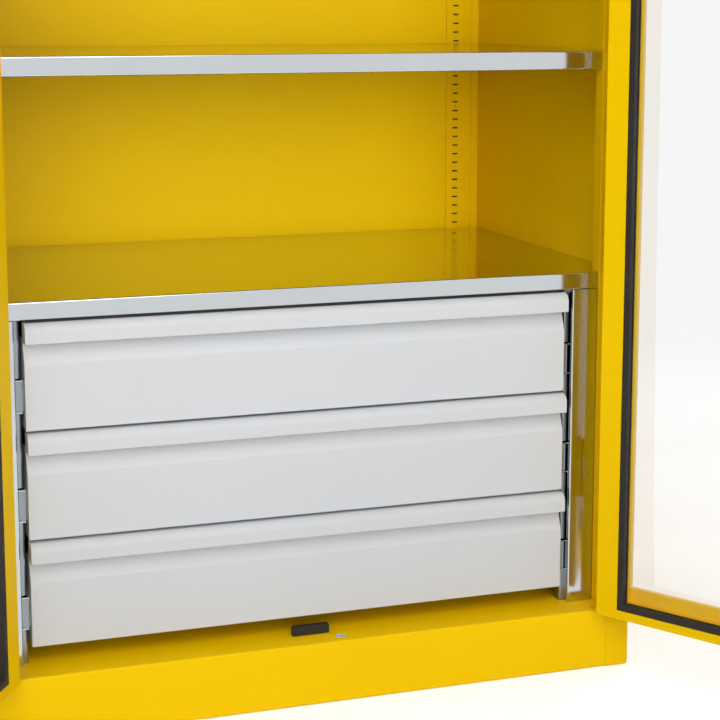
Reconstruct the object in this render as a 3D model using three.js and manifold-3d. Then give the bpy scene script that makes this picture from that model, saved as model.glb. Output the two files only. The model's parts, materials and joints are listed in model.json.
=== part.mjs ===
// Heavy-duty drawer cabinet: a steel cupboard with two window doors, shelves and a drawer block.
// Millimetres, +X right, +Y back, +Z up, origin on the ground below the middle of the carcass.
import * as THREE from "three";
import { mergeVertices } from "three/addons/utils/BufferGeometryUtils.js";
import Module from "manifold-3d";

const wasm = await Module();
wasm.setup();

// Overall size
const cabinetWidth = 970;
const cabinetDepth = 600;
const cabinetHeight = 1950;

// How far the doors stand open, in degrees
const doorOpenAngle = 121;

// Gaps
const seamGap = 0.3; // between pieces that rest on each other
const runningGap = 0.4; // between pieces that slide or turn
const doorGap = 3; // between the doors, and above and below them
const doorSideGap = 4.2; // between a door's hinged edge and the post

// Sheet thickness
const carcassSheet = 1.5;
const backSheet = 1;
const shelfSheet = 1.5;
const drawerSheet = 1.2;
const doorSheet = 1.5;

// Carcass
const postWidth = 36.6;
const postReturn = 64;
const rearFlange = 14;
const bendRadius = 3;
const footRadius = 5;
const footLift = 1;
const roofHeight = 45;
const floorHeight = 90.4;
const plinthReturn = 15;
const hemThickness = 2.5; // fold along the rear end of a post's return
const fittingsInset = 44.8; // front of shelves and drawer block behind the front plane

// Beam that carries the floor's middle, with its foot on the ground
const beamWidth = 80;
const beamSheet = 2;
const beamInset = 40;

// Levelling glides
const glideRadius = 9;
const glideStemRadius = 4.5;
const glideHeight = 24;
const glideInset = 12;
const footPlateDepth = 60;

// Door stops at the middle of the floor and the ceiling
const stopWidth = 54.2;
const stopHeight = 13.1;
const stopDepth = 11.6;
const stopInset = 36.5;
const stopRound = 4;

// Lock holes in floor and ceiling, and the small hole in each front corner of the floor
const rodX = 39.2;
const rodInset = 20.6;
const rodHoleWidth = 14.5;
const rodHoleDepth = 11.6;
const cornerHoleRadius = 2.9;
const cornerHoleSide = 17.5; // from the post's inner face
const cornerHoleInset = 12.5;

// Slotted strips on the back wall
const stripWidth = 31.9;
const stripDepth = 3;
const stripSheet = 1.5;
const stripSide = 24.3; // from the post's inner face to the strip's inner edge
const slotOffset = 16.9; // from the strip's inner edge to the middle of the slots
const slotWidth = 10.1;
const slotHeight = 2.6;
const slotPitch = 15;
const slotsPerArm = 3;

// Shelves
const shelfSideGap = 1.4;
const shelfEdge = 26.4;
const shelfReturn = 12;
const shelfOverSlot = 11.1; // shelf top above the uppermost slot that its arms use
const shelfCount = 3; // shelves above the one that covers the drawer block
const armSheet = 3;
const armFront = 18.7; // arm's start behind the shelf's front
const armFrontHeight = 18;
const tabThickness = 2;
const notchGap = 1;

// Drawer block
const blockHeight = 500.2; // floor to the top of the shelf that covers the block
const blockShelfEdge = 24.7;
const coverWidth = 39.5;
const blockRearGap = 14;
const drawerCount = 3;
const drawerBase = 26.1; // floor to the lowest drawer front
const drawerGap = 3.2;

// Runners beside the drawers
const runnerSpace = 12.6; // between drawer and cover
const runnerSheet = 1.2;
const runnerHeight = 45;
const runnerRise = 46.4; // runner's middle above the drawer's lower edge
const runnerReach = 9.7;
const runnerInset = 6; // runner's front behind the cover's face
const middleWebGap = 1;

// Drawer fronts
const lipForward = 13.5;
const lipRound = 12.6;
const lipHeight = 27.1;
const gripRecess = 12.3;
const slantFoot = 57.1; // below the front's upper edge
const trayBehindFront = 14.2;
const trayHeight = 121;
const trayRearGap = 14;
const frontLap = 25; // the front's lower flange under the tray

// Hinges
const hingeForward = 4.5; // axis in front of the front plane
const hingeSide = 1.9; // axis beyond the door's edge
const barrelRadius = 4;
const pinRadius = 2;
const hingeHeight = 90;
const hingeFromEnd = 190;
const leafThickness = 2;
const leafWidth = 24;
const leafStart = 4.8;

// Doors
const doorThickness = 27.3;
const hingeStile = 44.6;
const lockStile = 64;
const doorRail = 23.3;
const windowMargin = 44.6; // skin's border at the top and bottom of the window
const sealFace = 9.7;
const sealDepth = 13.5;
const paneThickness = 3;
const paneGrip = 4;
const paneBack = 8.7; // pane's inner face below the door's inner face
const overlapReach = 12;
const overlapLap = 18;
const overlapSheet = 1.5;

// Lock
const rodRadius = 4;
const rodEndGap = 22; // from the handle's axis to each rod
const handleHeight = 1000;
const handleSide = 23.2; // handle's axis from the door's free edge
const plateWidth = 34;
const plateHeight = 150;
const plateThickness = 7;
const plateRound = 8;
const spindleRadius = 5;
const bossRadius = 12;
const bossLength = 24;
const leverLength = 112;
const leverWidth = 18;
const leverThickness = 10;
const camRadius = 17;
const camThickness = 3;
const camInset = 9; // cam behind the door's skin

// Places that follow from the sizes above
const halfWidth = cabinetWidth / 2;
const front = -cabinetDepth / 2;
const back = cabinetDepth / 2;
const postInner = halfWidth - postWidth;
const hemInner = postInner - hemThickness;
const wallInner = halfWidth - carcassSheet;
const backInner = back - backSheet;
const fittingsFront = front + fittingsInset;
const ceiling = cabinetHeight - roofHeight;
const wallTop = cabinetHeight - carcassSheet - seamGap;
const rodY = front + rodInset;
const stripFront = backInner - seamGap - stripDepth;
const stripInner = postInner - stripSide;
const slotX = stripInner + slotOffset;
const shelfHalf = hemInner - shelfSideGap;
const panHalf = wallInner - seamGap; // shelves, floor and ceiling behind the posts
const shelfRear = stripFront - 2 * seamGap;
const panRear = backInner - seamGap - bendRadius;
const coverInner = shelfHalf - coverWidth;
const drawerHalf = coverInner - runnerSpace;
const blockShelfTop = floorHeight + blockHeight;
const blockTop = blockShelfTop - blockShelfEdge;
const slotsBetween = Math.floor((ceiling - blockShelfTop) / (shelfCount + 1) / slotPitch);
const firstShelfAt = blockHeight + slotsBetween * slotPitch - shelfOverSlot; // above the floor
const firstSlot = Math.round(firstShelfAt / slotPitch);
const shelfSlots = Array.from({ length: shelfCount }, (_, i) => firstSlot + i * slotsBetween);
const drawerPitch = (blockTop - floorHeight - drawerBase) / drawerCount;
const frontHeight = drawerPitch - drawerGap;
const trayFront = fittingsFront + trayBehindFront;
const trayRear = backInner - trayRearGap - blockRearGap;
const blockRear = backInner - blockRearGap;
const doorEdge = postInner - doorSideGap;
const doorFree = doorGap / 2;
const doorInner = front + doorThickness;
const doorBottom = floorHeight + doorGap;
const doorTop = ceiling - doorGap;
const hingeX = doorEdge + hingeSide;
const hingeY = front - hingeForward;
const handleX = doorFree + handleSide;
const glideX = postInner + postWidth / 2;
const glideY = { front: front + carcassSheet + glideInset, rear: backInner - carcassSheet - glideInset };

const roundSteps = 16;
const bendSteps = 3;
const lipSteps = 6;
const sharpestBend = 0.25; // keeps the edge of a sheet near its path at a sharp bend

const yellowPaint = new THREE.MeshStandardMaterial({ color: 0xe5c200, roughness: 0.45, metalness: 0 });
const galvanised = new THREE.MeshStandardMaterial({ color: 0xc8cfd3, roughness: 0.3, metalness: 0.9 });
const greyPaint = new THREE.MeshStandardMaterial({ color: 0xd8d9d9, roughness: 0.45, metalness: 0 });
const runnerSteel = new THREE.MeshStandardMaterial({ color: 0x8a949c, roughness: 0.4, metalness: 0.8 });
const blackRubber = new THREE.MeshStandardMaterial({ color: 0x322e2a, roughness: 0.7, metalness: 0 });
const blackPlastic = new THREE.MeshStandardMaterial({ color: 0x1f1f21, roughness: 0.5, metalness: 0 });
const acrylic = new THREE.MeshStandardMaterial({
  color: 0xf3f6f7,
  roughness: 0.05,
  metalness: 0,
  transparent: true,
  opacity: 0.3,
});

const cabinet = new THREE.Group();

function solidOf(geometry) {
  const bare = geometry.clone();
  bare.deleteAttribute("normal");
  bare.deleteAttribute("uv");
  const merged = mergeVertices(bare);
  const mesh = new wasm.Mesh({
    numProp: 3,
    vertProperties: merged.attributes.position.array,
    triVerts: new Uint32Array(merged.index.array),
  });
  return new wasm.Manifold(mesh);
}

function geometryOf(solid) {
  const mesh = solid.getMesh();
  const geometry = new THREE.BufferGeometry();
  geometry.setAttribute("position", new THREE.BufferAttribute(mesh.vertProperties, 3));
  geometry.setIndex(new THREE.BufferAttribute(mesh.triVerts, 1));
  geometry.computeVertexNormals();
  return geometry;
}

function addPiece(group, name, geometry, material) {
  const mesh = new THREE.Mesh(geometry, material);
  mesh.name = name;
  group.add(mesh);
}

// A box between two opposite corners
function boxBetween(low, high) {
  const size = high.map((value, i) => value - low[i]);
  const middle = high.map((value, i) => (value + low[i]) / 2);
  return new THREE.BoxGeometry(...size).translate(...middle);
}

function extruded(shape, length) {
  return new THREE.ExtrudeGeometry(shape, { depth: length, bevelEnabled: false, curveSegments: roundSteps });
}

// An outline in Y and Z, extruded along X
function alongX(shape, from, to) {
  const turn = new THREE.Matrix4().makeBasis(
    new THREE.Vector3(0, 1, 0),
    new THREE.Vector3(0, 0, 1),
    new THREE.Vector3(1, 0, 0),
  );
  return extruded(shape, to - from).applyMatrix4(turn).translate(from, 0, 0);
}

// An outline in X and Z, extruded along Y
function alongY(shape, from, to) {
  const turn = new THREE.Matrix4().makeBasis(
    new THREE.Vector3(1, 0, 0),
    new THREE.Vector3(0, 0, 1),
    new THREE.Vector3(0, -1, 0),
  );
  return extruded(shape, to - from).applyMatrix4(turn).translate(0, to, 0);
}

// An outline in X and Y, extruded along Z
function alongZ(shape, from, to) {
  return extruded(shape, to - from).translate(0, 0, from);
}

// The same geometry on the other side of the cabinet, with its faces still pointing out
function mirrored(geometry) {
  const copy = mergeVertices(geometry.clone().deleteAttribute("uv").deleteAttribute("normal"));
  copy.scale(-1, 1, 1);
  const order = copy.index.array;
  for (let i = 0; i < order.length; i += 3) {
    [order[i + 1], order[i + 2]] = [order[i + 2], order[i + 1]];
  }
  copy.computeVertexNormals();
  return copy;
}

function outline(points) {
  return new THREE.Shape(points.map(([u, v]) => new THREE.Vector2(u, v)));
}

// Replaces each inner corner of a path by a short arc
function withBends(points, radius, steps) {
  const path = points.map(([u, v]) => new THREE.Vector2(u, v));
  const result = [path[0]];
  for (let i = 1; i < path.length - 1; i += 1) {
    const before = path[i - 1].clone().sub(path[i]).normalize();
    const after = path[i + 1].clone().sub(path[i]).normalize();
    const half = Math.acos(before.dot(after)) / 2;
    const setback = radius / Math.tan(half);
    const start = path[i].clone().addScaledVector(before, setback);
    const end = path[i].clone().addScaledVector(after, setback);
    const bend = new THREE.QuadraticBezierCurve(start, path[i], end);
    result.push(...bend.getPoints(steps));
  }
  result.push(path[path.length - 1]);
  return result;
}

// A sheet of even thickness on the left of a path
function sheetOutline(path, thickness) {
  const inner = path.map((point, i) => {
    const before = path[Math.max(i - 1, 0)];
    const after = path[Math.min(i + 1, path.length - 1)];
    const along = i > 0 ? point.clone().sub(before).normalize() : after.clone().sub(point).normalize();
    const next = i < path.length - 1 ? after.clone().sub(point).normalize() : along;
    const normal = new THREE.Vector2(-along.y - next.y, along.x + next.x).normalize();
    const stretch = 1 / Math.max(normal.dot(new THREE.Vector2(-along.y, along.x)), sharpestBend);
    return point.clone().addScaledVector(normal, thickness * stretch);
  });
  return new THREE.Shape([...path, ...inner.reverse()]);
}

function foldedSheet(points, thickness, radius = bendRadius) {
  return sheetOutline(withBends(points, radius, bendSteps), thickness);
}

function bar(radius, from, to, x, y) {
  const geometry = new THREE.CylinderGeometry(radius, radius, to - from, roundSteps);
  return geometry.rotateX(Math.PI / 2).translate(x, y, (from + to) / 2);
}

function barAlongY(radius, from, to, x, z) {
  const geometry = new THREE.CylinderGeometry(radius, radius, to - from, roundSteps);
  return geometry.translate(x, (from + to) / 2, z);
}

function joined(...geometries) {
  const solids = geometries.map(solidOf);
  return geometryOf(solids.slice(1).reduce((sum, solid) => sum.add(solid), solids[0]));
}

function cut(geometry, ...cutters) {
  return geometryOf(cutters.reduce((rest, cutter) => rest.subtract(solidOf(cutter)), solidOf(geometry)));
}

function addSideWalls() {
  const rear = backInner - seamGap;
  const path = [
    [postInner, front + postReturn],
    [postInner, front],
    [halfWidth, front],
    [halfWidth, rear],
    [halfWidth - rearFlange, rear],
  ];
  const wall = alongZ(foldedSheet(path, carcassSheet), footLift, wallTop);
  const corner = boxBetween(
    [halfWidth - footRadius, front - footRadius, footLift - footRadius],
    [halfWidth + footRadius, back + footRadius, footLift + footRadius],
  );
  const round = barAlongY(footRadius, front - 2 * footRadius, back + 2 * footRadius, 0, 0);
  round.translate(halfWidth - footRadius, 0, footLift + footRadius);
  const hem = boxBetween(
    [hemInner, fittingsFront, floorHeight + seamGap],
    [postInner + carcassSheet / 2, front + postReturn, ceiling - seamGap],
  );
  const rounded = cut(joined(wall, hem, ...footPlates(rear)), cut(corner, round));
  addPiece(cabinet, "side_wall_right", rounded, yellowPaint);
  addPiece(cabinet, "side_wall_left", mirrored(rounded), yellowPaint);
}

// Two plates across the wall's lower end, each with a hole for a glide's stem
function footPlates(rear) {
  const low = 2 * footLift + seamGap;
  const high = low + carcassSheet;
  const sheet = carcassSheet / 2;
  const spans = {
    front: [front + sheet, front + footPlateDepth],
    rear: [rear - footPlateDepth, rear - sheet],
  };
  return Object.entries(spans).map(([name, [from, to]]) => cut(
    boxBetween([postInner + sheet, from, low], [halfWidth - sheet, to, high]),
    bar(glideStemRadius + seamGap, low - carcassSheet, high + carcassSheet, glideX, glideY[name]),
  ));
}

function addBackPanel() {
  const half = halfWidth - seamGap;
  const panel = boxBetween([-half, backInner, footLift], [half, back, wallTop]);
  addPiece(cabinet, "back_panel", panel, yellowPaint);
}

function rodHole(from, to) {
  const hole = new THREE.Shape();
  hole.absellipse(rodX, rodY, rodHoleWidth / 2, rodHoleDepth / 2, 0, 2 * Math.PI);
  return alongZ(hole, from, to);
}

// Cutters for the two front corners of a pan, which leave room for the posts
function postNotches(inner, rear, low, high) {
  return [1, -1].map((side) => boxBetween(
    [side > 0 ? inner : -halfWidth, front - bendRadius, low],
    [side > 0 ? halfWidth : -inner, rear, high],
  ));
}

function addRoof() {
  const path = [
    [panRear, cabinetHeight],
    [front, cabinetHeight],
    [front, ceiling],
    [panRear, ceiling],
  ];
  const notches = postNotches(
    postInner - seamGap, front + postReturn + seamGap, ceiling - carcassSheet, cabinetHeight + carcassSheet,
  );
  const pan = cut(alongX(foldedSheet(path, carcassSheet), -panHalf, panHalf), ...notches);
  const cap = boxBetween(
    [-halfWidth, front + bendRadius, cabinetHeight - carcassSheet],
    [halfWidth, back, cabinetHeight],
  );
  const hole = rodHole(ceiling - carcassSheet, ceiling + 2 * carcassSheet);
  addPiece(cabinet, "roof_panel", cut(joined(pan, cap), hole), yellowPaint);
}

function addFloor() {
  const path = [
    [panRear, floorHeight],
    [front, floorHeight],
    [front, footLift],
    [front + plinthReturn, footLift],
  ];
  const pan = alongX(foldedSheet(path, carcassSheet), -panHalf, panHalf);
  const notches = postNotches(
    postInner - seamGap, front + postReturn + seamGap, footLift - carcassSheet, floorHeight + carcassSheet,
  );
  const under = floorHeight - 2 * carcassSheet;
  const over = floorHeight + carcassSheet;
  const cornerX = postInner - cornerHoleSide;
  const cornerY = front + cornerHoleInset;
  const holes = [
    rodHole(under, over),
    bar(cornerHoleRadius, under, over, cornerX, cornerY),
    bar(cornerHoleRadius, under, over, -cornerX, cornerY),
  ];
  addPiece(cabinet, "floor_panel", cut(pan, ...notches, ...holes), yellowPaint);
}

function addBeam() {
  const top = floorHeight - carcassSheet - seamGap;
  const half = beamWidth / 2;
  const path = [
    [-half, top],
    [-half, 0],
    [half, 0],
    [half, top],
  ];
  const beam = alongY(foldedSheet(path, beamSheet), front + beamInset, backInner - seamGap);
  addPiece(cabinet, "base_beam", beam, yellowPaint);
}

function addGlides() {
  const profile = [
    [0, 0],
    [glideRadius - footLift, 0],
    [glideRadius, footLift],
    [glideRadius, footLift + footLift],
    [glideStemRadius, footLift + footLift],
    [glideStemRadius, glideHeight],
    [0, glideHeight],
  ].map(([r, z]) => new THREE.Vector2(r, z));
  for (const [name, y] of Object.entries(glideY)) {
    const glide = new THREE.LatheGeometry(profile, roundSteps).rotateX(Math.PI / 2).translate(glideX, y, 0);
    const clean = geometryOf(solidOf(glide));
    addPiece(cabinet, `levelling_glide_${name}_right`, clean, blackPlastic);
    addPiece(cabinet, `levelling_glide_${name}_left`, mirrored(clean), blackPlastic);
  }
}

function addStops() {
  const half = stopWidth / 2;
  const stopFront = front + stopInset;
  const stopBack = stopFront + stopDepth;
  const shape = new THREE.Shape();
  shape.moveTo(-half, stopFront);
  shape.lineTo(half, stopFront);
  shape.lineTo(half, stopBack - stopRound);
  shape.absarc(half - stopRound, stopBack - stopRound, stopRound, 0, Math.PI / 2);
  shape.lineTo(-half + stopRound, stopBack);
  shape.absarc(-half + stopRound, stopBack - stopRound, stopRound, Math.PI / 2, Math.PI);
  const low = floorHeight + seamGap;
  addPiece(cabinet, "door_stop_lower", alongZ(shape, low, low + stopHeight), blackRubber);
  const high = ceiling - seamGap;
  addPiece(cabinet, "door_stop_upper", alongZ(shape, high - stopHeight, high), blackRubber);
}

// The height of the middle of one slot in a strip, counted from the floor
function slotZ(number) {
  return floorHeight + number * slotPitch;
}

function addStrips() {
  const outer = stripInner + stripWidth;
  const rear = backInner - seamGap;
  const low = floorHeight + seamGap;
  const high = ceiling - seamGap;
  const strip = boxBetween([stripInner, stripFront, low], [outer, rear, high]);
  const hollow = boxBetween(
    [stripInner + stripSheet, stripFront + stripSheet, low - stripSheet],
    [outer - stripSheet, rear + stripSheet, high + stripSheet],
  );
  const slots = [];
  for (const first of shelfSlots) {
    for (let i = 0; i < slotsPerArm; i += 1) {
      const z = slotZ(first - i);
      slots.push(boxBetween(
        [slotX - slotWidth / 2, stripFront - stripSheet, z - slotHeight / 2],
        [slotX + slotWidth / 2, rear + stripSheet, z + slotHeight / 2],
      ));
    }
  }
  const slotted = cut(strip, hollow, ...slots);
  addPiece(cabinet, "slotted_strip_right", slotted, yellowPaint);
  addPiece(cabinet, "slotted_strip_left", mirrored(slotted), yellowPaint);
}

function shelfPan(top, edge) {
  const bottom = top - edge;
  const path = [
    [shelfRear - shelfReturn, bottom],
    [shelfRear, bottom],
    [shelfRear, top],
    [fittingsFront, top],
    [fittingsFront, bottom],
    [fittingsFront + shelfReturn, bottom],
  ];
  const pan = alongX(foldedSheet(path, shelfSheet), -panHalf, panHalf);
  const clear = front + postReturn + notchGap;
  return cut(pan, ...postNotches(shelfHalf, clear, bottom - notchGap, top + notchGap));
}

function addShelves() {
  addPiece(cabinet, "drawer_block_top", shelfPan(blockShelfTop, blockShelfEdge), galvanised);
  const half = slotWidth / 2 + notchGap;
  shelfSlots.forEach((number, i) => {
    const top = slotZ(number) + shelfOverSlot;
    const notch = (x) => boxBetween(
      [x - half, shelfRear - shelfReturn - notchGap, top - shelfEdge - notchGap],
      [x + half, shelfRear + notchGap, top - shelfSheet - seamGap / 2],
    );
    const shelf = cut(shelfPan(top, shelfEdge), notch(slotX), notch(-slotX));
    addPiece(cabinet, `shelf_${i + 1}`, shelf, galvanised);
    addArms(i + 1, number, top - shelfSheet - seamGap);
  });
}

// One cantilever arm on each side, hooked into the strip's slots
function addArms(shelfNumber, slotNumber, top) {
  const rear = stripFront - seamGap;
  const start = fittingsFront + armFront;
  const lowest = slotZ(slotNumber - slotsPerArm + 1) - tabThickness / 2;
  const plate = outline([
    [start, top],
    [start, top - armFrontHeight],
    [rear, lowest],
    [rear, top],
  ]);
  const pieces = [alongX(plate, slotX - armSheet / 2, slotX + armSheet / 2)];
  const halfTab = slotWidth / 2 - seamGap;
  for (let i = 0; i < slotsPerArm; i += 1) {
    const z = slotZ(slotNumber - i);
    pieces.push(boxBetween(
      [slotX - halfTab, rear - armSheet, z - tabThickness / 2],
      [slotX + halfTab, backInner - seamGap - seamGap, z + tabThickness / 2],
    ));
  }
  const arm = joined(...pieces);
  addPiece(cabinet, `shelf_arm_${shelfNumber}_right`, arm, galvanised);
  addPiece(cabinet, `shelf_arm_${shelfNumber}_left`, mirrored(arm), galvanised);
}

function drawerBottom(number) {
  return floorHeight + drawerBase + number * drawerPitch;
}

// Half heights of the three nested runner rails, outside faces
const outerHalf = runnerHeight / 2;
const middleHalf = outerHalf - runnerSheet - runningGap;
const innerHalf = middleHalf - runnerSheet - runningGap;

function addRunnerFrames() {
  const path = [
    [panHalf, blockRear],
    [coverInner, blockRear],
    [coverInner, fittingsFront],
    [shelfHalf, fittingsFront],
  ];
  const frameTop = blockTop - seamGap;
  const pieces = [alongZ(foldedSheet(path, shelfSheet), floorHeight + seamGap, frameTop)];
  for (let i = 0; i < drawerCount; i += 1) {
    const z = drawerBottom(i) + runnerRise;
    const tip = coverInner - runnerReach;
    const root = coverInner + shelfSheet / 2;
    for (const low of [z - outerHalf, z + outerHalf - runnerSheet]) {
      pieces.push(boxBetween(
        [tip, fittingsFront + runnerInset, low],
        [root, blockRear - runnerInset, low + runnerSheet],
      ));
    }
  }
  const frame = joined(...pieces);
  addPiece(cabinet, "runner_frame_right", frame, galvanised);
  addPiece(cabinet, "runner_frame_left", mirrored(frame), galvanised);
}

function addMiddleRails(number) {
  const z = drawerBottom(number) + runnerRise;
  const web = coverInner - middleWebGap;
  const tip = coverInner - runnerReach;
  const path = [
    [tip, z - middleHalf],
    [web, z - middleHalf],
    [web, z + middleHalf],
    [tip, z + middleHalf],
  ];
  const shape = foldedSheet(path, runnerSheet, runnerSheet);
  const rail = alongY(shape, trayFront, blockRear - runnerInset);
  addPiece(cabinet, `runner_middle_${number + 1}_right`, rail, runnerSteel);
  addPiece(cabinet, `runner_middle_${number + 1}_left`, mirrored(rail), runnerSteel);
}

// An open tray with the inner runner rail welded to each side
function addTray(number) {
  const low = drawerBottom(number) + drawerSheet + seamGap;
  const high = low + trayHeight;
  const shell = boxBetween([-drawerHalf, trayFront, low], [drawerHalf, trayRear, high]);
  const hollow = boxBetween(
    [-drawerHalf + drawerSheet, trayFront + drawerSheet, low + drawerSheet],
    [drawerHalf - drawerSheet, trayRear - drawerSheet, high + drawerSheet],
  );
  const z = drawerBottom(number) + runnerRise;
  const root = drawerHalf - drawerSheet / 2;
  const tip = drawerHalf + runnerSpace - middleWebGap - runnerSheet - runningGap - runnerSheet;
  const path = [
    [tip, z + innerHalf],
    [root, z + innerHalf],
    [root, z - innerHalf],
    [tip, z - innerHalf],
  ];
  const shape = foldedSheet(path, runnerSheet, runnerSheet);
  const rail = alongY(shape, trayFront, trayRear);
  const tray = joined(cut(shell, hollow), rail, mirrored(rail));
  addPiece(cabinet, `drawer_tray_${number + 1}`, tray, greyPaint);
}

// A folded front: rounded grip lip, finger recess, slanted band and flat face
function addDrawerFront(number) {
  const low = drawerBottom(number);
  const high = low + frontHeight;
  const rear = trayFront - seamGap;
  const lipFace = fittingsFront - lipForward;
  const path = [new THREE.Vector2(rear, high)];
  for (let i = 0; i <= lipSteps; i += 1) {
    const turn = (Math.PI / 2) * (i / lipSteps);
    path.push(new THREE.Vector2(
      fittingsFront - lipForward * Math.sin(turn),
      high - lipRound + lipRound * Math.cos(turn),
    ));
  }
  const corners = [
    [lipFace, high - lipHeight],
    [fittingsFront + gripRecess - drawerSheet, high - lipHeight],
    [fittingsFront, high - slantFoot],
    [fittingsFront, low],
    [trayFront + frontLap, low],
  ];
  path.push(...corners.map(([y, z]) => new THREE.Vector2(y, z)));
  const sheet = alongX(sheetOutline(path, drawerSheet), -drawerHalf, drawerHalf);
  addPiece(cabinet, `drawer_front_${number + 1}`, sheet, greyPaint);
}

function addDrawerBlock() {
  addRunnerFrames();
  for (let i = 0; i < drawerCount; i += 1) {
    addTray(i);
    addDrawerFront(i);
    addMiddleRails(i);
  }
}

// A ring of square section in the door's plane, given by four sides and a width
function windowBox(sideHinge, sideFree, rail, low, high) {
  return boxBetween(
    [doorFree + sideFree, low, doorBottom + rail],
    [doorEdge - sideHinge, high, doorTop - rail],
  );
}

// The pan of a door, drawn closed: skin, box stiles and rails, and a rebate for the window seal
function doorFrame() {
  const pan = boxBetween([doorFree, front, doorBottom], [doorEdge, doorInner, doorTop]);
  const skinInner = front + doorSheet;
  const past = doorInner + doorSheet;
  const rebate = sealFace;
  const rebateFloor = doorInner - sealDepth - seamGap;
  const cavityFront = rebateFloor - doorSheet;
  const cavityBack = doorInner - doorSheet;
  const hingeFlange = hingeStile - rebate;
  const lockFlange = lockStile - rebate;
  const railFlange = doorRail - rebate;
  const window = windowBox(hingeStile, lockStile, windowMargin, front - doorSheet, past);
  const recess = windowBox(hingeStile, lockStile, doorRail, skinInner, past);
  const seat = windowBox(
    hingeFlange - seamGap, lockFlange - seamGap, railFlange - seamGap, rebateFloor, past,
  );
  const shallow = (side) => side - seamGap - doorSheet;
  const deep = (side) => side - doorSheet;
  const hollowDeep = cut(
    windowBox(doorSheet, doorSheet, doorSheet, skinInner, cavityFront),
    windowBox(deep(hingeStile), deep(lockStile), deep(doorRail), front, past),
  );
  const inner = [shallow(hingeFlange), shallow(lockFlange), shallow(railFlange)];
  const hollowShallow = cut(
    windowBox(doorSheet, doorSheet, doorSheet, cavityFront - doorSheet, cavityBack),
    windowBox(inner[0], inner[1], inner[2], front, past),
  );
  const overshoot = 2 * doorSheet;
  const rodRoom = rodRadius + runningGap;
  const bottomHole = bar(rodRoom, doorBottom - overshoot, doorBottom + overshoot, rodX, rodY);
  const topHole = bar(rodRoom, doorTop - overshoot, doorTop + overshoot, rodX, rodY);
  return cut(pan, window, recess, seat, hollowDeep, hollowShallow, bottomHole, topHole);
}

function windowSeal() {
  const outer = windowBox(
    hingeStile - sealFace, lockStile - sealFace, doorRail - sealFace, doorInner - sealDepth, doorInner,
  );
  const opening = windowBox(hingeStile, lockStile, doorRail, front, doorInner + sealDepth);
  const reach = paneGrip + seamGap;
  const groove = windowBox(
    hingeStile - reach, lockStile - reach, doorRail - reach,
    doorInner - paneBack - paneThickness - seamGap, doorInner - paneBack + seamGap,
  );
  return cut(outer, opening, groove);
}

function windowPane() {
  return windowBox(
    hingeStile - paneGrip, lockStile - paneGrip, doorRail - paneGrip,
    doorInner - paneBack - paneThickness, doorInner - paneBack,
  );
}

const segment = (hingeHeight - 2 * seamGap) / 3;

// The half of a hinge that is welded to the post, with two barrels and the pin
function postLeaf(middle) {
  const low = middle - hingeHeight / 2;
  const high = middle + hingeHeight / 2;
  const leafBack = front - seamGap;
  const leafFront = leafBack - leafThickness;
  const pieces = [
    bar(pinRadius, low + segment / 2, high - segment / 2, hingeX, hingeY),
    boxBetween([hingeX + leafStart, leafFront, low], [hingeX + leafWidth, leafBack, high]),
  ];
  for (const [from, to] of [[low, low + segment], [high - segment, high]]) {
    pieces.push(bar(barrelRadius, from, to, hingeX, hingeY));
    pieces.push(boxBetween([hingeX, leafFront, from], [hingeX + leafStart + leafThickness, leafBack, to]));
  }
  return joined(...pieces);
}

// The half of a hinge that is welded to the door, with the barrel between
function doorLeaf(middle) {
  const low = middle - hingeHeight / 2;
  const high = middle + hingeHeight / 2;
  const leafBack = front - seamGap;
  const leafFront = leafBack - leafThickness;
  const from = low + segment + seamGap;
  const to = high - segment - seamGap;
  const barrel = joined(
    bar(barrelRadius, from, to, hingeX, hingeY),
    boxBetween([hingeX - leafStart - leafThickness, leafFront, from], [hingeX, leafBack, to]),
    boxBetween([hingeX - leafWidth, leafFront, low], [hingeX - leafStart, leafBack, high]),
  );
  return cut(barrel, bar(pinRadius + runningGap, from - segment, to + segment, hingeX, hingeY));
}

const hingeHeights = { lower: doorBottom + hingeFromEnd, upper: doorTop - hingeFromEnd };

function addPostLeaves() {
  for (const [name, z] of Object.entries(hingeHeights)) {
    const leaf = postLeaf(z);
    addPiece(cabinet, `hinge_post_leaf_${name}_right`, leaf, yellowPaint);
    addPiece(cabinet, `hinge_post_leaf_${name}_left`, mirrored(leaf), yellowPaint);
  }
}

// A group in which a door's pieces, drawn closed, swing about the hinge axis
function doorGroup(side, angle) {
  const swing = new THREE.Group();
  swing.position.set(side * hingeX, hingeY, 0);
  swing.rotation.z = THREE.MathUtils.degToRad(side * angle);
  const closed = new THREE.Group();
  closed.position.set(-side * hingeX, -hingeY, 0);
  swing.add(closed);
  cabinet.add(swing);
  return closed;
}

function addDoor(name, side, angle) {
  const group = doorGroup(side, angle);
  const turned = (geometry) => (side > 0 ? geometry : mirrored(geometry));
  let frame = doorFrame();
  if (side > 0) frame = cut(frame, handleHole());
  addPiece(group, `door_${name}`, turned(frame), yellowPaint);
  addPiece(group, `window_seal_${name}`, turned(windowSeal()), blackRubber);
  addPiece(group, `window_${name}`, turned(windowPane()), acrylic);
  for (const [place, z] of Object.entries(hingeHeights)) {
    addPiece(group, `hinge_door_leaf_${place}_${name}`, turned(doorLeaf(z)), yellowPaint);
  }
  return group;
}

// A strip on the left door that the right door closes over
function addOverlapStrip(group) {
  const low = doorBottom + doorRail;
  const strip = boxBetween(
    [-doorFree - overlapLap, doorInner + seamGap, low],
    [doorFree + overlapReach, doorInner + seamGap + overlapSheet, doorTop - doorRail],
  );
  addPiece(group, "overlap_strip", strip, yellowPaint);
}

function handleHole() {
  const radius = spindleRadius + runningGap;
  return barAlongY(radius, front - doorSheet, front + 2 * doorSheet, handleX, handleHeight);
}

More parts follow.
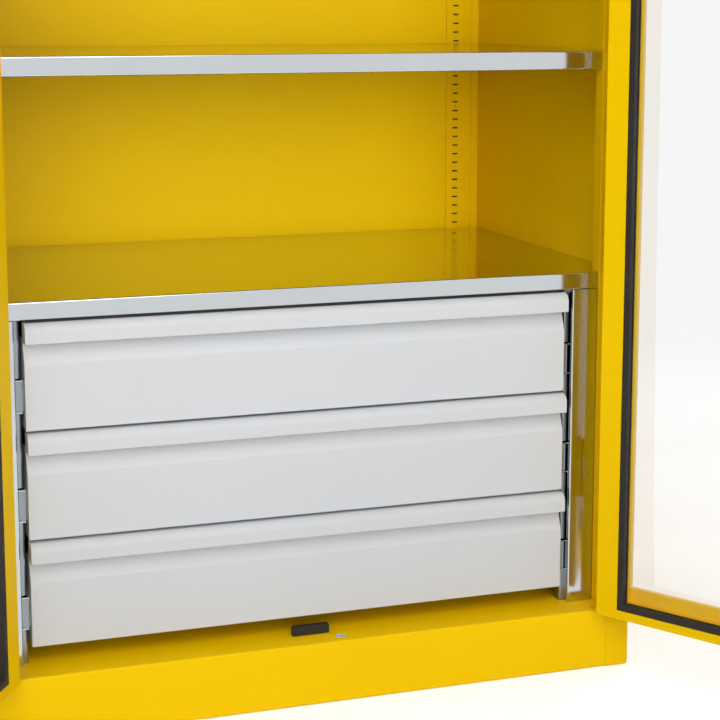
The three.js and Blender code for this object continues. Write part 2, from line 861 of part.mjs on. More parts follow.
function addLock(group) {
  const plateBack = front - seamGap;
  const plateFront = plateBack - plateThickness;
  const camFront = front + doorSheet + camInset;
  addHandlePlate(group, plateFront, plateBack);
  addLever(group, plateFront, camFront);
  addCam(group, camFront);
  const lower = bar(rodRadius, doorBottom + doorSheet, handleHeight - rodEndGap, rodX, rodY);
  const upper = bar(rodRadius, handleHeight + rodEndGap, doorTop - doorSheet, rodX, rodY);
  addPiece(group, "lock_rod_lower", lower, runnerSteel);
  addPiece(group, "lock_rod_upper", upper, runnerSteel);
}

function addHandlePlate(group, plateFront, plateBack) {
  const half = [plateWidth / 2 - plateRound, plateHeight / 2 - plateRound];
  const shape = new THREE.Shape();
  const turns = [[1, 1], [-1, 1], [-1, -1], [1, -1]];
  turns.forEach(([u, v], i) => {
    const x = handleX + u * half[0];
    const z = handleHeight + v * half[1];
    shape.absarc(x, z, plateRound, (i * Math.PI) / 2, ((i + 1) * Math.PI) / 2);
  });
  const plate = alongY(shape, plateFront, plateBack);
  const hole = barAlongY(
    spindleRadius + runningGap, plateFront - plateThickness, plateBack + plateThickness,
    handleX, handleHeight,
  );
  addPiece(group, "handle_plate", cut(plate, hole), blackPlastic);
}

function addLever(group, plateFront, camFront) {
  const bossBack = plateFront - runningGap;
  const bossFront = bossBack - bossLength;
  const half = leverWidth / 2;
  const shape = new THREE.Shape();
  shape.absarc(handleX, handleHeight, half, Math.PI / 2, (3 * Math.PI) / 2);
  shape.absarc(handleX + leverLength - half, handleHeight, half, -Math.PI / 2, Math.PI / 2);
  const grip = alongY(shape, bossFront - leverThickness, bossFront + leverThickness / 2);
  const lever = joined(
    barAlongY(bossRadius, bossFront - leverThickness / 2, bossBack, handleX, handleHeight),
    barAlongY(spindleRadius, bossBack - bossLength / 2, camFront + camThickness, handleX, handleHeight),
    grip,
  );
  addPiece(group, "handle_lever", lever, blackPlastic);
}

function addCam(group, camFront) {
  const cam = barAlongY(camRadius, camFront, camFront + camThickness, handleX, handleHeight);
  const bore = barAlongY(
    spindleRadius + seamGap, camFront - camThickness, camFront + 2 * camThickness, handleX, handleHeight,
  );
  addPiece(group, "lock_cam", cut(cam, bore), runnerSteel);
}

addSideWalls();
addBackPanel();
addRoof();
addFloor();
addBeam();
addGlides();
addStops();
addStrips();
addShelves();
addDrawerBlock();
addPostLeaves();
addLock(addDoor("right", 1, doorOpenAngle));
addOverlapStrip(addDoor("left", -1, doorOpenAngle));

export default cabinet;
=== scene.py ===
import json
import math

import bpy
from mathutils import Matrix, Vector

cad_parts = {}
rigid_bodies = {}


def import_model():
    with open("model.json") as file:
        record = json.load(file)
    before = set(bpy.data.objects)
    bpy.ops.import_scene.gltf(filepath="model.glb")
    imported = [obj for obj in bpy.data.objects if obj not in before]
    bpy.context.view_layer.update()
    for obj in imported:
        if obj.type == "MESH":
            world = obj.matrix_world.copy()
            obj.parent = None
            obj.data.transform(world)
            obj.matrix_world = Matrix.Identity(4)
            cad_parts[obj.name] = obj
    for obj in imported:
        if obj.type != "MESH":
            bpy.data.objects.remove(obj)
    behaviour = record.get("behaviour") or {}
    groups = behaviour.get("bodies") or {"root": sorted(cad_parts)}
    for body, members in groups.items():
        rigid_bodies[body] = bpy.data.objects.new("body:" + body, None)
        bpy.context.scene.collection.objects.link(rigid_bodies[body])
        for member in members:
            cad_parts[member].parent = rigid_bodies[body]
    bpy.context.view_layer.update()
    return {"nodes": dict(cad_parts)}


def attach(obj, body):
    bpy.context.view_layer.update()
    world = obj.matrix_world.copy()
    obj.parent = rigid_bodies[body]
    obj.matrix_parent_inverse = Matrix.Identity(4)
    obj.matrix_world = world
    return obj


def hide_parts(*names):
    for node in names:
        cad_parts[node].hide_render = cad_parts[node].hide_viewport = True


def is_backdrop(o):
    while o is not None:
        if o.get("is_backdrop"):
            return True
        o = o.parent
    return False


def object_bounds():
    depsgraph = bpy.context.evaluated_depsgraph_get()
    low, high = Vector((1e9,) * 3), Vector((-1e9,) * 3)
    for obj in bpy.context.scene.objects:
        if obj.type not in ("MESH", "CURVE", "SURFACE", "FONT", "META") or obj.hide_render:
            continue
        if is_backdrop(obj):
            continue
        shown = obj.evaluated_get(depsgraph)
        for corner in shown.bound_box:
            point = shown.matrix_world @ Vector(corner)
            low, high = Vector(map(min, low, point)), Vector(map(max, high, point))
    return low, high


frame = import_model()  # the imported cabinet, in metres
mm = 0.001


class Value:  # one output in a finish's node tree, with Python's operators
    def __init__(self, finish, socket):
        self.finish = finish
        self.socket = socket

    def maths(self, operation, first, second):
        return self.finish.node("ShaderNodeMath", {"operation": operation}, {0: first, 1: second})

    def __add__(self, other):
        return self.maths("ADD", self, other)

    def __radd__(self, other):
        return self.maths("ADD", other, self)

    def __mul__(self, other):
        return self.maths("MULTIPLY", self, other)

    def __rmul__(self, other):
        return self.maths("MULTIPLY", other, self)

    def __or__(self, other):  # the larger of the two
        return self.maths("MAXIMUM", self, other)

    def __ror__(self, other):
        return self.maths("MAXIMUM", other, self)


noiseReach = (0.3, 0.7)  # most of a noise lies between these


class Finish:  # a material or world and its node tree
    def __init__(self, name, tree=None):
        self.material = None if tree else bpy.data.materials.new(name)
        if self.material:
            self.material.use_nodes = True
        self.tree = tree or self.material.node_tree
        self.tree.nodes.clear()

    # Any node: its type, its settings, what goes into its sockets, and the output that is wanted
    def node(self, kind, settings=None, inputs=None, output=0):
        made = self.tree.nodes.new(kind)
        for name, value in (settings or {}).items():
            setattr(made, name, value)
        for name, value in (inputs or {}).items():
            if isinstance(value, Value):
                self.tree.links.new(value.socket, made.inputs[name])
            else:
                made.inputs[name].default_value = value
        return Value(self, made.outputs[output]) if len(made.outputs) else made

    def place(self, stretch=(1, 1, 1)):
        own = self.node("ShaderNodeTexCoord", output="Object")
        return self.node("ShaderNodeMapping", None, {"Vector": own, "Scale": stretch})

    def noise(self, scale, detail, stretch=(1, 1, 1), rough=0.5):  # the scale is in lumps to the metre
        inputs = {"Vector": self.place(stretch), "Scale": scale, "Detail": detail, "Roughness": rough}
        return self.node("ShaderNodeTexNoise", None, inputs)

    def span(self, noise, low=0, high=1):  # takes a noise to a range
        start, end = noiseReach
        inputs = {"Value": noise, "From Min": start, "From Max": end, "To Min": low, "To Max": high}
        return self.node("ShaderNodeMapRange", None, inputs)

    def mixed(self, factor, first, second):
        inputs = {0: factor, 6: (*first, 1), 7: (*second, 1)}
        return self.node("ShaderNodeMix", {"data_type": "RGBA"}, inputs, output=2)

    def bump(self, height, distance):
        return self.node("ShaderNodeBump", None, {"Height": height, "Distance": distance})

    def seen(self):  # one where a ray comes from the camera, a mirror or a pane
        rays = ["Is Camera Ray", "Is Glossy Ray", "Is Transmission Ray"]
        camera, mirror, pane = [self.node("ShaderNodeLightPath", output=ray) for ray in rays]
        return camera | mirror | pane

    def surface(self, **inputs):
        named = {key.replace("_", " "): value for key, value in inputs.items()}
        shader = self.node("ShaderNodeBsdfPrincipled", None, named)
        self.node("ShaderNodeOutputMaterial", None, {"Surface": shader})
        return self.material


# In each look a noise is its scale and detail, and a relief is in metres
yellowLook = {
    "bright": (0.94, 0.608, 0.0),
    "deep": (0.92, 0.576, 0.0),
    "clouds": (2.2, 3),
    "roughness": (0.42, 0.5),
    "wear": (18, 3),
    "mirror": 0.08,
    "peel": (650, 1),
    "waves": (120, 2),
    "waveShare": 0.6,
    "relief": 0.00004,
}


def yellowPaint():
    look = Finish("yellowPowderCoat")
    clouds = look.span(look.noise(*yellowLook["clouds"]))
    waves = look.noise(*yellowLook["waves"]) * yellowLook["waveShare"]
    return look.surface(
        Base_Color=look.mixed(clouds, yellowLook["bright"], yellowLook["deep"]),
        Roughness=look.span(look.noise(*yellowLook["wear"]), *yellowLook["roughness"]),
        Specular_IOR_Level=yellowLook["mirror"],
        Normal=look.bump(look.noise(*yellowLook["peel"]) + waves, yellowLook["relief"]),
    )


greyLook = {
    "pale": (0.605, 0.622, 0.645),
    "dull": (0.588, 0.605, 0.628),
    "clouds": (3.1, 3),
    "roughness": (0.44, 0.52),
    "wear": (24, 3),
    "mirror": 0.3,
    "peel": (1300, 1),
    "waves": (160, 2),
    "waveShare": 0.5,
    "relief": 0.00004,
}


def greyPaint():
    look = Finish("lightGreyPowderCoat")
    clouds = look.span(look.noise(*greyLook["clouds"]))
    waves = look.noise(*greyLook["waves"]) * greyLook["waveShare"]
    return look.surface(
        Base_Color=look.mixed(clouds, greyLook["pale"], greyLook["dull"]),
        Roughness=look.span(look.noise(*greyLook["wear"]), *greyLook["roughness"]),
        Specular_IOR_Level=greyLook["mirror"],
        Normal=look.bump(look.noise(*greyLook["peel"]) + waves, greyLook["relief"]),
    )


zincLook = {
    "bright": (0.61, 0.64, 0.66),
    "dull": (0.57, 0.60, 0.625),
    "rolled": (9, 4, (1.5, 70, 70), 0.6),  # the sheet's rolling direction is X
    "patches": (7, 4),
    "patchShare": 0.6,
    "roughness": (0.09, 0.14),
    "wear": (14, 3),
    "wearShare": 0.5,
    "relief": 0.00001,
}


def zincPlate():
    look = Finish("zincPlatedSheet")
    rolled = look.noise(*zincLook["rolled"])
    patches = look.span(look.noise(*zincLook["patches"])) * zincLook["patchShare"]
    streaks = look.span(rolled) * (1 - zincLook["patchShare"])
    wear = look.noise(*zincLook["wear"]) * zincLook["wearShare"] + rolled * (1 - zincLook["wearShare"])
    return look.surface(
        Base_Color=look.mixed(patches + streaks, zincLook["bright"], zincLook["dull"]),
        Metallic=1.0,
        Roughness=look.span(wear, *zincLook["roughness"]),
        Normal=look.bump(rolled, zincLook["relief"]),
    )


runnerLook = {
    "pale": (0.36, 0.40, 0.43),
    "dark": (0.29, 0.33, 0.36),
    "drawn": (12, 4, (90, 1.2, 90), 0.6),  # the rails are drawn along Y
    "roughness": (0.26, 0.38),
    "relief": 0.00001,
}


def runnerSteel():
    look = Finish("runnerSteel")
    drawn = look.noise(*runnerLook["drawn"])
    return look.surface(
        Base_Color=look.mixed(look.span(drawn), runnerLook["pale"], runnerLook["dark"]),
        Metallic=1.0,
        Roughness=look.span(drawn, *runnerLook["roughness"]),
        Normal=look.bump(drawn, runnerLook["relief"]),
    )


rubberLook = {
    "black": (0.021, 0.018, 0.016),
    "bloomed": (0.028, 0.024, 0.021),
    "bloom": (14, 4),
    "roughness": (0.52, 0.68),
    "wear": (40, 3),
    "mirror": 0.25,
    "grain": (1500, 2),
    "relief": 0.00005,
}


def blackRubber():
    look = Finish("blackRubber")
    bloom = look.span(look.noise(*rubberLook["bloom"]))
    return look.surface(
        Base_Color=look.mixed(bloom, rubberLook["black"], rubberLook["bloomed"]),
        Roughness=look.span(look.noise(*rubberLook["wear"]), *rubberLook["roughness"]),
        Specular_IOR_Level=rubberLook["mirror"],
        Normal=look.bump(look.noise(*rubberLook["grain"]), rubberLook["relief"]),
    )


plasticLook = {
    "black": (0.014, 0.014, 0.015),
    "worn": (0.02, 0.02, 0.021),
    "clouds": (20, 3),
    "roughness": (0.38, 0.5),
    "wear": (30, 3),
    "grain": (1700, 2),
    "relief": 0.00006,
}


def blackPlastic():
    look = Finish("blackPlastic")
    clouds = look.span(look.noise(*plasticLook["clouds"]))
    return look.surface(
        Base_Color=look.mixed(clouds, plasticLook["black"], plasticLook["worn"]),
        Roughness=look.span(look.noise(*plasticLook["wear"]), *plasticLook["roughness"]),
        Normal=look.bump(look.noise(*plasticLook["grain"]), plasticLook["relief"]),
    )


acrylicLook = {
    "clear": (0.71, 0.715, 0.71),
    "hazed": (0.69, 0.695, 0.69),
    "wiped": (5, 4, (1, 1, 0.3)),
    "bending": 1.49,
    "cover": 0.25,  # the rest of the light goes straight through
}


def clearAcrylic():
    look = Finish("clearAcrylic")
    wiped = look.span(look.noise(*acrylicLook["wiped"]))
    return look.surface(
        Base_Color=look.mixed(wiped, acrylicLook["clear"], acrylicLook["hazed"]),
        Roughness=0.0,
        IOR=acrylicLook["bending"],
        Transmission_Weight=1.0,
        Alpha=acrylicLook["cover"],
    )


finishes = {
    "yellow_paint": yellowPaint(),
    "grey_paint": greyPaint(),
    "galvanised": zincPlate(),
    "runner_steel": runnerSteel(),
    "black_rubber": blackRubber(),
    "black_plastic": blackPlastic(),
    "clear_acrylic": clearAcrylic(),
}
print("finishes ready:", len(finishes))


def deselect():
    if bpy.context.mode != "OBJECT":
        bpy.ops.object.mode_set(mode="OBJECT")
    bpy.ops.object.select_all(action="DESELECT")


def pick(piece):
    deselect()
    piece.select_set(True)
    bpy.context.view_layer.objects.active = piece


def edit(piece, mode="FACE"):
    pick(piece)
    bpy.ops.object.mode_set(mode="EDIT")
    bpy.ops.mesh.select_mode(type=mode)
    bpy.ops.mesh.select_all(action="SELECT")


def editOnly(piece, mode, wanted):  # opens a piece with only the corners or faces picked that pass a test
    edit(piece, mode)
    bpy.ops.mesh.select_all(action="DESELECT")
    bpy.ops.object.mode_set(mode="OBJECT")
    for part in piece.data.vertices if mode == "VERT" else piece.data.polygons:
        part.select = wanted(part)
    bpy.ops.object.mode_set(mode="EDIT")


def bodyOf(node):
    return frame["nodes"][node].parent.name.split(":")[1]


def spanOf(node):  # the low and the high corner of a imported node, in mm
    cad = frame["nodes"][node]
    corners = [cad.matrix_world @ corner.co / mm for corner in cad.data.vertices]
    return [[round(end(corner[i] for corner in corners), 3) for i in range(3)] for end in (min, max)]


def middleOf(node):
    low, high = spanOf(node)
    return [(first + last) / 2 for first, last in zip(low, high)]


# Puts a finished piece on its body, with its finish, in place of the CAD nodes it stands for
def settle(piece, slot, body, *nodes):
    piece.data.materials.clear()
    piece.data.materials.append(finishes[slot])
    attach(piece, body)
    if nodes:
        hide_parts(*nodes)
    return piece


def apply(piece, kind, **settings):
    pick(piece)
    modifier = piece.modifiers.new("step", kind)
    for name, value in settings.items():
        setattr(modifier, name, value)
    bpy.ops.object.modifier_apply(modifier=modifier.name)
    return piece


def bevelled(piece, width, segments=2, angle=40):
    return apply(
        piece, "BEVEL", width=width * mm, segments=segments, limit_method="ANGLE",
        angle_limit=math.radians(angle), miter_outer="MITER_ARC",
    )


def shaded(piece, angle=50, weight=80):
    pick(piece)
    bpy.ops.object.shade_smooth_by_angle(angle=math.radians(angle))
    return apply(piece, "WEIGHTED_NORMAL", keep_sharp=True, weight=weight)


joinWithin = {"drawn": 0.00001, "packed": 0.00002, "repeated": 0.00005}  # metres between corners
flatWithin = 0.5  # degrees between faces that become one


def cleaned(piece):  # doubles merged and faces outwards
    edit(piece)
    bpy.ops.mesh.remove_doubles(threshold=joinWithin["drawn"])
    bpy.ops.mesh.normals_make_consistent(inside=False)
    deselect()
    return piece


def nameFor(node):
    words = node.split("_")
    return words[0] + "".join(word.capitalize() for word in words[1:])


# A copy of a CAD node, merged, with its edges softened as paint or rolling leaves them
def softened(node, edge, segments):
    mesh = frame["nodes"][node].data.copy()
    piece = bpy.data.objects.new(nameFor(node), mesh)
    bpy.context.scene.collection.objects.link(piece)
    mesh.name = piece.name
    edit(piece)
    bpy.ops.mesh.remove_doubles(threshold=joinWithin["packed"])
    bpy.ops.mesh.dissolve_limited(angle_limit=math.radians(flatWithin))
    shaded(bevelled(piece, edge, segments))
    slot = frame["nodes"][node].data.materials[0].name
    return settle(piece, slot, bodyOf(node), node)


# A chain of edges through points, drawn by extruding one corner on and on
def wire(name, points):
    deselect()
    bpy.ops.mesh.primitive_plane_add(size=mm)
    piece = bpy.context.object
    piece.name = piece.data.name = name
    edit(piece, "VERT")
    bpy.ops.mesh.merge(type="CENTER")
    spots = [Vector(point) * mm for point in points]
    bpy.ops.transform.translate(value=spots[0])
    for spot, following in zip(spots, spots[1:]):
        bpy.ops.mesh.extrude_region_move(TRANSFORM_OT_translate={"value": following - spot})
    deselect()
    return piece


axes = {"x": (1, 0, 0), "y": (0, 1, 0), "z": (0, 0, 1)}


def spotOn(axis, height, u, v):
    return {"x": (height, u, v), "y": (u, height, v), "z": (u, v, height)}[axis]


# A surface drawn along an axis from a path, with rounded bends
def drawnSurface(name, path, axis, low, high, bend=0, segments=5):
    piece = wire(name, [spotOn(axis, low, u, v) for u, v in path])
    edit(piece, "EDGE")
    step = Vector(axes[axis]) * (high - low) * mm
    bpy.ops.mesh.extrude_region_move(TRANSFORM_OT_translate={"value": step})
    deselect()
    if bend:
        bevelled(piece, bend, segments, angle=5)
    return piece


def faceTowards(piece, direction):  # turns an open surface so that its outermost face looks that way
    way = Vector(direction)
    outermost = max(piece.data.polygons, key=lambda face: face.center.dot(way))
    if outermost.normal.dot(way) < 0:
        edit(piece)
        bpy.ops.mesh.flip_normals()
        deselect()
    return piece


def walled(piece, thickness, edge):  # gives a surface its thickness behind its faces
    apply(piece, "SOLIDIFY", thickness=thickness * mm, offset=-1, use_even_offset=True)
    if edge:
        bevelled(piece, edge, angle=50)
    return shaded(piece, 40)


def bisected(piece, point, normal):
    edit(piece)
    bpy.ops.mesh.bisect(plane_co=Vector(point) * mm, plane_no=normal)
    deselect()


def removed(piece, inside):  # deletes the faces whose middles pass a test, in mm
    editOnly(piece, "FACE", lambda face: inside(*(face.center / mm)))
    bpy.ops.mesh.delete(type="FACE")
    deselect()


# A turned piece from a profile of radius and height, on an upright axis or one along Y
def turnedPiece(name, profile, centre, axis="z", steps=40):
    x, y, z = centre
    spots = {
        "z": [(x + r, y, z + h) for r, h in profile],
        "y": [(x + r, y + h, z) for r, h in profile],
    }[axis]
    piece = wire(name, spots)
    edit(piece, "VERT")
    bpy.ops.mesh.spin(
        steps=steps, angle=math.tau, center=Vector(centre) * mm, axis=axes[axis], use_auto_merge=False,
    )
    return shaded(cleaned(piece), 35)


# A block between two corners, with rounded edges
def block(name, low, high, edge, segments=3):
    deselect()
    low, high = Vector(low) * mm, Vector(high) * mm
    bpy.ops.mesh.primitive_cube_add(size=1, location=(0, 0, 0))
    piece = bpy.context.object
    piece.name = piece.data.name = name
    edit(piece)
    bpy.ops.transform.resize(value=high - low)
    bpy.ops.transform.translate(value=(low + high) / 2)
    deselect()
    bevelled(piece, edge, segments)
    return shaded(piece)


# A ring round an upright rectangle: each step of its profile is an inset and a depth
def windowRing(name, left, right, bottom, top, profile):
    deselect()
    bpy.ops.mesh.primitive_plane_add(size=1, rotation=(math.pi / 2, 0, 0))
    bpy.ops.object.transform_apply()
    piece = bpy.context.object
    piece.name = piece.data.name = name
    edit(piece)
    bpy.ops.mesh.delete(type="ONLY_FACE")
    bpy.ops.mesh.select_mode(type="EDGE")
    bpy.ops.mesh.select_all(action="SELECT")
    middle = Vector(((left + right) / 2, 0, (bottom + top) / 2)) * mm

    def sizeAt(inset):
        return Vector((right - left - 2 * inset, 1 / mm, top - bottom - 2 * inset)) * mm

    inset, depth = profile[0]
    size = sizeAt(inset)
    bpy.ops.transform.resize(value=size)
    bpy.ops.transform.translate(value=middle + Vector((0, depth * mm, 0)))
    for inset, following in [*profile[1:], profile[0]]:
        bpy.ops.mesh.extrude_region_move(
            TRANSFORM_OT_translate={"value": (0, (following - depth) * mm, 0)},
        )
        nextSize = sizeAt(inset)
        scale = (nextSize.x / size.x, 1, nextSize.z / size.z)
        bpy.ops.transform.resize(value=scale, center_override=middle)
        size, depth = nextSize, following
    deselect()
    return cleaned(piece)


def copied(piece, name, move=(0, 0, 0)):
    twin = piece.copy()
    twin.data = piece.data.copy()
    twin.name = twin.data.name = name
    twin.parent = None
    bpy.context.scene.collection.objects.link(twin)
    pick(twin)
    twin.matrix_world = Matrix.Translation(Vector(move) * mm)
    bpy.ops.object.transform_apply()
    return twin


def mirroredCopy(piece, name):
    twin = copied(piece, name)
    twin.scale = (-1, 1, 1)
    bpy.ops.object.transform_apply()
    return shaded(cleaned(twin), 40)


def joinedWith(piece, *others):
    pick(piece)
    for other in others:
        other.select_set(True)
    bpy.ops.object.join()
    return piece


hookX = middleOf("shelf_arm_1_right")[0]  # also the middle of the strip's slots
postX = spanOf("side_wall_right")[0][0]

shelf = {
    "postGap": 1.4,
    "notch": -235.0,  # back end of the corner cut out for each post
    "turnUp": 12,
    "sheet": 1.5,
    "bend": 2.4,
    "soft": 0.25,
    "hookHalf": 6.05,
    "hookMargin": 1,
}


def nearHook(x):  # where an arm's hook passes through the rear edge
    return abs(abs(x) - hookX) < shelf["hookHalf"]


def foldedShelf(node, hooked):
    (left, front, bottom), (right, rear, top) = spanOf(node)
    post = postX - shelf["postGap"]
    path = [
        (rear - shelf["turnUp"], bottom), (rear, bottom), (rear, top),
        (front, top), (front, bottom), (front + shelf["turnUp"], bottom),
    ]
    piece = drawnSurface(nameFor(node), path, "x", left, right, shelf["bend"])
    faceTowards(piece, (0, 0, -1))
    for side in (-1, 1):
        bisected(piece, (side * post, 0, 0), (1, 0, 0))
    bisected(piece, (0, shelf["notch"], 0), (0, 1, 0))
    removed(piece, lambda x, y, z: abs(x) > post and y < shelf["notch"])
    if hooked:  # room for the arms' hooks in the rear edge
        for side in (-1, 1):
            for reach in (-shelf["hookHalf"], shelf["hookHalf"]):
                bisected(piece, (side * hookX + reach, 0, 0), (1, 0, 0))
        behind = rear - shelf["turnUp"] - shelf["hookMargin"]
        under = top - shelf["hookMargin"]
        removed(piece, lambda x, y, z: nearHook(x) and y > behind and z < under)
    walled(piece, shelf["sheet"], shelf["soft"])
    return settle(piece, "galvanised", "root", node)


foldedShelf("drawer_block_top", False)
for number in (1, 2, 3):
    foldedShelf("shelf_%d" % number, True)
print("shelves folded")

strip = {
    "box": spanOf("slotted_strip_right"),
    "sheet": 1.2,
    "bend": 0.8,
    "bendSteps": 2,
    "slotSize": (10.1, 2.6),
    "firstSlot": 14.7,  # over the strip's foot
    "pitch": 15,
    "near": 0.1,  # how close to the strip's face or end counts as on it
    "hole": {"above": 712.2, "radius": 1.25, "reach": 2, "steps": 20},
}


def slottedStrip():
    (inner, front, bottom), (outer, rear, top) = strip["box"]
    slot = bottom + strip["firstSlot"]
    count = int((top - slot) // strip["pitch"])
    start = slot - strip["pitch"] / 2
    end = start + strip["pitch"]
    path = [(inner, rear), (inner, front), (outer, front), (outer, rear)]
    piece = drawnSurface("slottedStripRight", path, "z", start, end, strip["bend"], strip["bendSteps"])
    wide, high = strip["slotSize"]
    for side in (-0.5, 0.5):
        bisected(piece, (hookX + side * wide, 0, 0), (1, 0, 0))
        bisected(piece, (0, 0, slot + side * high), (0, 0, 1))
    removed(piece, lambda x, y, z: (
        abs(x - hookX) < wide / 2 and abs(z - slot) < high / 2 and y < front + strip["near"]
    ))
    apply(
        piece, "ARRAY", count=count, use_relative_offset=False, use_constant_offset=True,
        constant_offset_displace=(0, 0, strip["pitch"] * mm), use_merge_vertices=True,
        merge_threshold=joinWithin["repeated"],
    )
    stretchEnd(piece, start, bottom)
    stretchEnd(piece, start + count * strip["pitch"], top)
    faceTowards(piece, (0, -1, 0))
    return walled(piece, strip["sheet"], 0)


def stretchEnd(piece, fromZ, toZ):  # moves one end of a strip to its place
    editOnly(piece, "VERT", lambda corner: abs(corner.co.z / mm - fromZ) < strip["near"])
    bpy.ops.transform.translate(value=(0, 0, (toZ - fromZ) * mm))
    deselect()


def punched(piece):  # the small round hole between two slots
    front, bottom = strip["box"][0][1:]
    hole = strip["hole"]
    r, reach = hole["radius"], hole["reach"]
    profile = [(0, -reach), (r, -reach), (r, reach), (0, reach)]
    middle = (hookX, front, bottom + hole["above"])
    punch = turnedPiece("punch", profile, middle, "y", hole["steps"])
    apply(piece, "BOOLEAN", operation="DIFFERENCE", object=punch, solver="EXACT")
    bpy.data.objects.remove(punch)
    return shaded(piece, 40)


# The strip behind the slots is painted shade: dark rubber set where the real cupboard only has shadow
paintedSlotShade = {"half": 7.5, "gap": 0.04, "thick": 0.2, "short": 2, "soft": 0.05}


def slotPaintedShade():  # painted shade: a dark strip behind the slots that stands in for the shadowed hollow seen through them
    bottom = strip["box"][0][2]
    rear, top = strip["box"][1][1:]
    back = rear - paintedSlotShade["gap"]
    low = (hookX - paintedSlotShade["half"], back - paintedSlotShade["thick"], bottom + paintedSlotShade["short"])
    high = (hookX + paintedSlotShade["half"], back, top - paintedSlotShade["short"])
    return block("slotBackingRight", low, high, paintedSlotShade["soft"], 1)


stripRight = punched(slottedStrip())
stripLeft = mirroredCopy(stripRight, "slottedStripLeft")
paintedSlotShadeRight = slotPaintedShade()
paintedSlotShadeLeft = mirroredCopy(paintedSlotShadeRight, "slotBackingLeft")
# the painted shade strips are black so that the slots read dark
for piece in (paintedSlotShadeRight, paintedSlotShadeLeft):
    settle(piece, "black_rubber", "root")
settle(stripRight, "yellow_paint", "root", "slotted_strip_right")
settle(stripLeft, "yellow_paint", "root", "slotted_strip_left")
print("strips slotted:", len(stripRight.data.polygons), "faces each")

drawer = {
    "numbers": (1, 2, 3),
    "box": spanOf("drawer_front_1"),
    "pitch": spanOf("drawer_front_2")[0][2] - spanOf("drawer_front_1")[0][2],
    "face": spanOf("drawer_block_top")[0][1],
    "trayFront": spanOf("drawer_tray_1")[0][1],
    "trayGap": 0.3,
    "lip": {"round": 12.6, "height": 27.1, "steps": 14},
    "recess": 11.1,
    "slantFoot": 57.1,
    "sheet": 1.2,
    "bend": 1.1,
    "bendSteps": 4,
    "bendAngle": 13,
    "soft": 0.2,
    "endWidth": 1.2,
    "endGap": 0.1,
}


def forDrawer(number, first, name):  # the lowest drawer's own piece, or its copy for one above
    up = (0, 0, drawer["pitch"] * (number - 1))
    return first if number == 1 else copied(first, name % number, up)


def frontPath(inward=0):  # the lowest front's outer line, or one further in
    front, low = drawer["box"][0][1:]
    high = drawer["box"][1][2]
    lip, face = drawer["lip"], drawer["face"]
    path = [(drawer["trayFront"] - drawer["trayGap"], high - inward)]
    for i in range(lip["steps"] + 1):
        turn = math.pi / 2 * i / lip["steps"]
        path.append((
            face - (face - front - inward) * math.sin(turn),
            high - lip["round"] + (lip["round"] - inward) * math.cos(turn),
        ))
    path += [
        (front + inward, high - lip["height"] + inward),
        (face + drawer["recess"] + inward, high - lip["height"] + inward),
        (face + inward, high - drawer["slantFoot"]),
        (face + inward, low + inward),
    ]
    return path


def drawerFront():
    (left, front, low), (right, rear, high) = drawer["box"]
    piece = drawnSurface("drawerFront1", [*frontPath(), (rear, low)], "x", left, right)
    apply(
        piece, "BEVEL", width=drawer["bend"] * mm, segments=drawer["bendSteps"],
        limit_method="ANGLE", angle_limit=math.radians(drawer["bendAngle"]),
    )
    faceTowards(piece, (0, 0, 1))
    walled(piece, drawer["sheet"], drawer["soft"])
    return joinedWith(piece, frontEnd(left, 1), frontEnd(right, -1))


def frontEnd(x, way):  # the plate that closes one end of a front
    inward = drawer["sheet"] + drawer["endGap"]
    path = frontPath(inward)
    path.append((drawer["trayFront"] - drawer["trayGap"], drawer["box"][0][2] + inward))
    piece = wire("frontEnd", [spotOn("x", x, u, v) for u, v in path])
    edit(piece, "EDGE")
    bpy.ops.mesh.edge_face_add()
    bpy.ops.mesh.extrude_region_move(
        TRANSFORM_OT_translate={"value": (way * drawer["endWidth"] * mm, 0, 0)},
    )
    return shaded(cleaned(piece))


shield = {
    "inner": 396.5,
    "outer": 404.9,
    "front": -243.5,
    "rear": -225,
    "bottom": 91.2,
    "top": 565.2,
    "railGap": 3.1,
    "sheet": 1.0,
    "bend": 3.5,
    "bendSteps": 6,
    "soft": 0.2,
}


def gapShields():  # folded plates that close the gap beside the drawers, between the runners
    rails = [spanOf("runner_middle_%d_right" % number) for number in drawer["numbers"]]
    lows = [shield["bottom"], *[high[2] + shield["railGap"] for low, high in rails]]
    highs = [*[low[2] - shield["railGap"] for low, high in rails], shield["top"]]
    path = [
        (shield["inner"], shield["rear"]), (shield["inner"], shield["front"]),
        (shield["outer"], shield["front"]),
    ]
    plates = []
    for low, high in zip(lows, highs):
        plate = drawnSurface("gapShieldsRight", path, "z", low, high, shield["bend"], shield["bendSteps"])
        faceTowards(plate, (-1, 0, 0))
        plates.append(walled(plate, shield["sheet"], shield["soft"]))
    return joinedWith(*plates)


shieldsRight = gapShields()
shieldsLeft = mirroredCopy(shieldsRight, "gapShieldsLeft")
for piece in (shieldsRight, shieldsLeft):
    settle(piece, "runner_steel", "root")

# The black strip over the top drawer is painted shade that darkens the gap there
dustStrip = {"half": 390, "front": -254.6, "rear": -251.6, "low": 563.2, "high": 565.6, "soft": 0.6}


def shadeOverTopDrawer():  # painted shade: the thin dark strip between the top drawer and the block's cover, standing in for the shadowed gap
    low = (-dustStrip["half"], dustStrip["front"], dustStrip["low"])
    high = (dustStrip["half"], dustStrip["rear"], dustStrip["high"])
    return settle(block("dustStrip", low, high, dustStrip["soft"]), "black_rubber", "root")


shadeOverTopDrawer()

railEnd = {
    "inner": 393.6,
    "outer": 403.8,
    "front": -243.0,
    "rear": -241.3,
    "over": 0.7,  # above and below the rail
    "rim": 1.6,
    "dish": 0.5,
    "soft": 0.5,
    "facing": 0.99,  # how squarely a face looks forward that counts as the front
}


